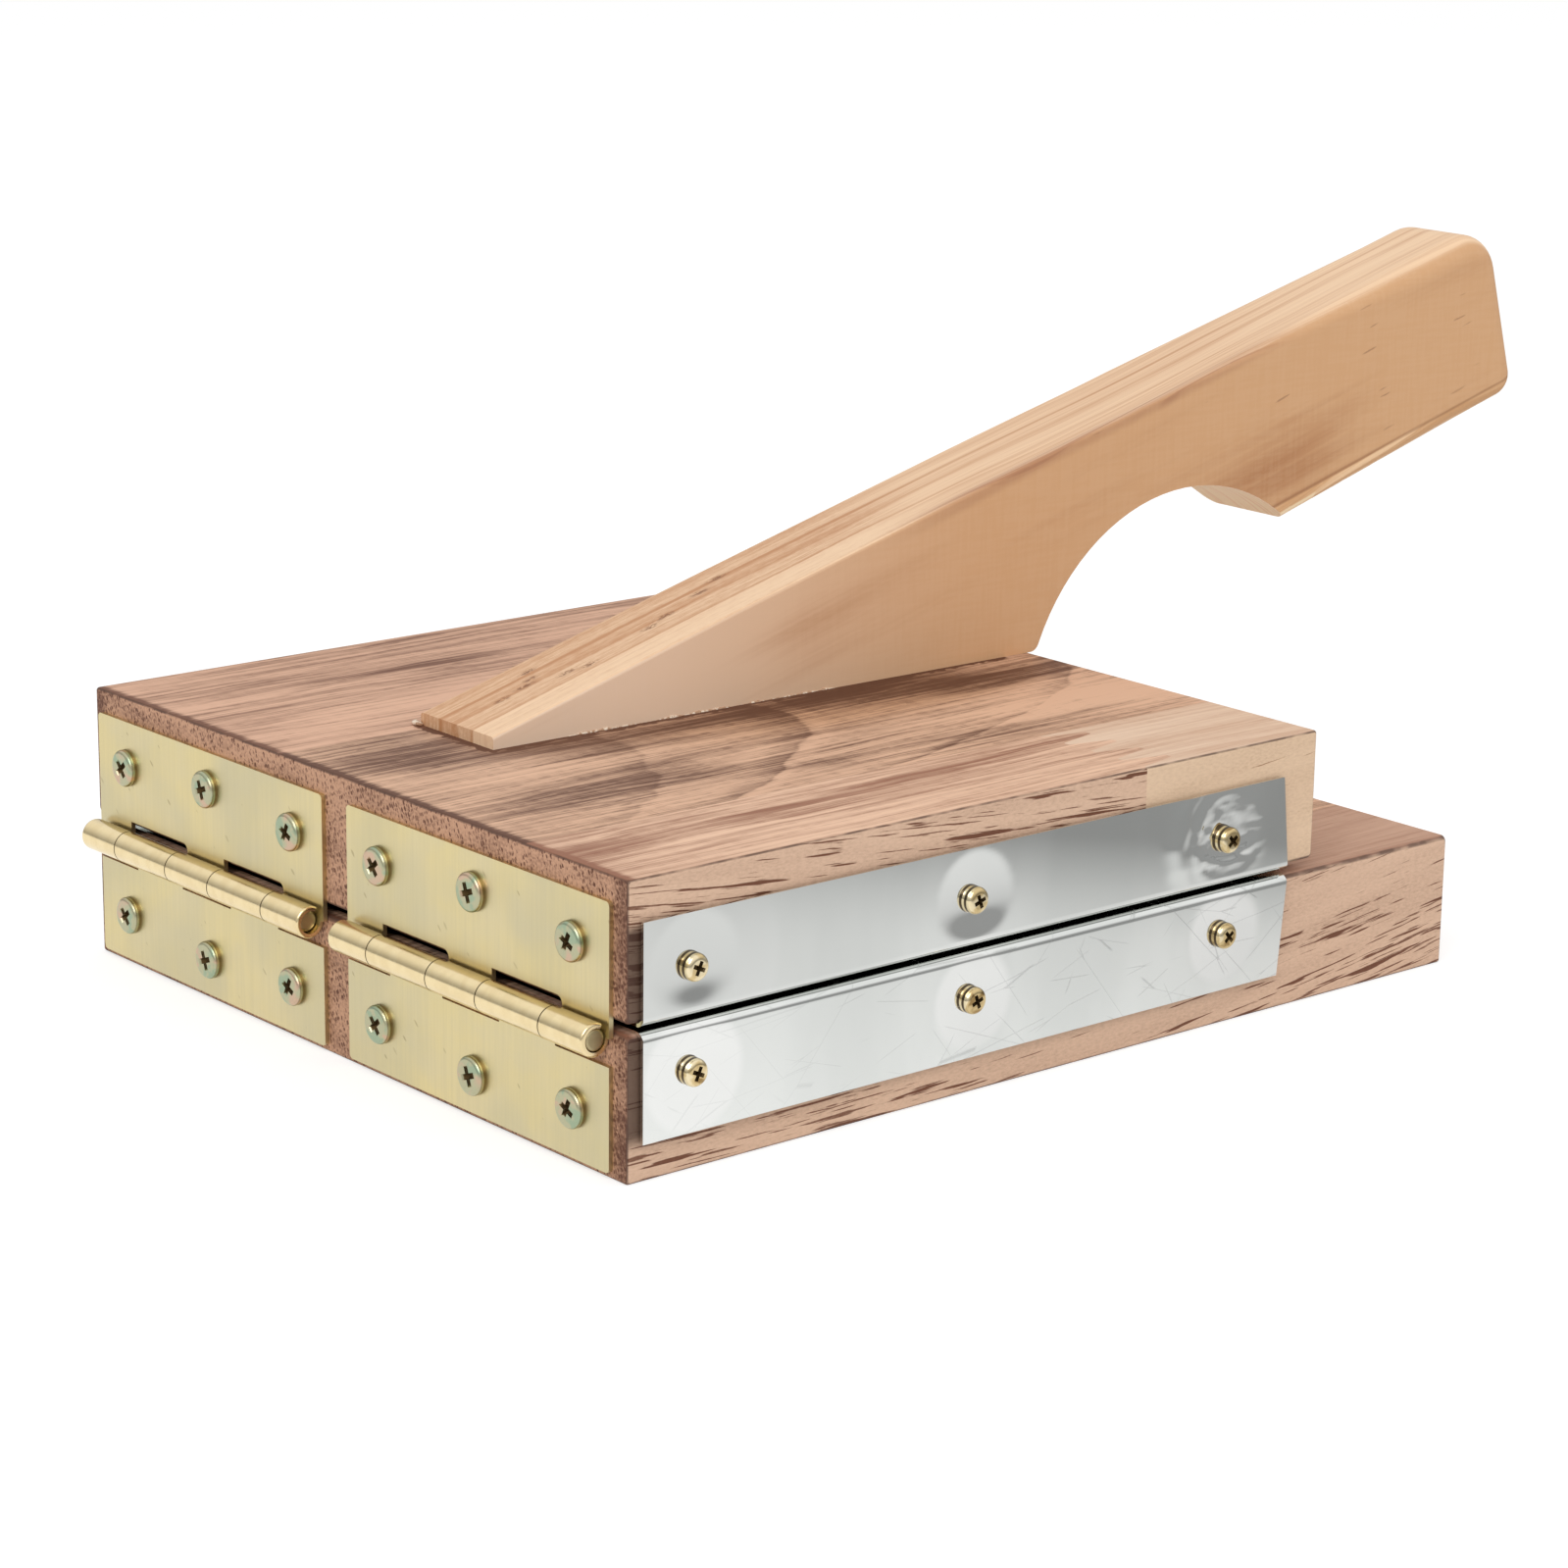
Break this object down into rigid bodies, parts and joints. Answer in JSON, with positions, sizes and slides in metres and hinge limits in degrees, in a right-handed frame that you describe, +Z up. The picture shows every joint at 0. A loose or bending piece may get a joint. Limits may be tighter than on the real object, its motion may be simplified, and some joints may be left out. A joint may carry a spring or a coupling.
{
  "type": "dumpling wrapper press",
  "caption": "Hinged hand press with two wooden blocks faced in polished steel and a long sloping lever handle, for flattening small dough balls into round wrappers.",
  "frame": {"origin": "centre of the lower board's underside, on the surface it stands on", "axes": "+X from the hinges to the grip, +Y across the boards, away from the side the handle leans to, +Z up"},
  "size_m": [0.2441, 0.134, 0.0993],
  "materials": {
    "striped_stave": "smooth, unvarnished, pinkish tan with straight stripes",
    "pale_stave": "smooth, unvarnished, light tan",
    "dark_stave": "smooth, unvarnished, walnut brown with curved rings",
    "streaked_stave": "smooth, unvarnished, streaky pink brown",
    "handle_wood": "smooth, sanded, pale honey",
    "polished_plate": "mirror-polished stainless steel with fine scratches",
    "hinge_brass": "satin, pale, brass-plated steel",
    "hinge_pin": "satin",
    "zinc_screw": "yellow-zinc plated, iridescent",
    "brass_screw": "polished",
    "steel_screw": "plain, hidden in the wood"
  },
  "bodies": {
    "base": {"lower_board_near_stave": "striped_stave", "lower_board_middle_stave": "dark_stave", "lower_board_far_stave": "streaked_stave", "lower_plate": "polished_plate", "lower_plate_screws_near": "brass_screw", "lower_plate_screws_far": "brass_screw", "near_hinge_lower_leaf": "hinge_brass", "near_hinge_lower_screws": "zinc_screw", "near_hinge_pin": "hinge_pin", "far_hinge_lower_leaf": "hinge_brass", "far_hinge_lower_screws": "zinc_screw", "far_hinge_pin": "hinge_pin"},
    "lid": {"upper_board_near_stave": "striped_stave", "upper_board_near_stave_end": "pale_stave", "upper_board_middle_stave": "dark_stave", "upper_board_far_stave": "streaked_stave", "upper_plate": "polished_plate", "upper_plate_screws_near": "brass_screw", "upper_plate_screws_far": "brass_screw", "near_hinge_upper_leaf": "hinge_brass", "near_hinge_upper_screws": "zinc_screw", "far_hinge_upper_leaf": "hinge_brass", "far_hinge_upper_screws": "zinc_screw", "handle": "handle_wood", "handle_screws": "steel_screw"}
  },
  "joints": [
    {"name": "lid_hinge", "type": "hinge", "parent": "base", "child": "lid", "pos_m": [-0.08135, 0, 0.0195], "axis": [0, -1, 0], "range_deg": [-0.25, 158]}
  ]
}
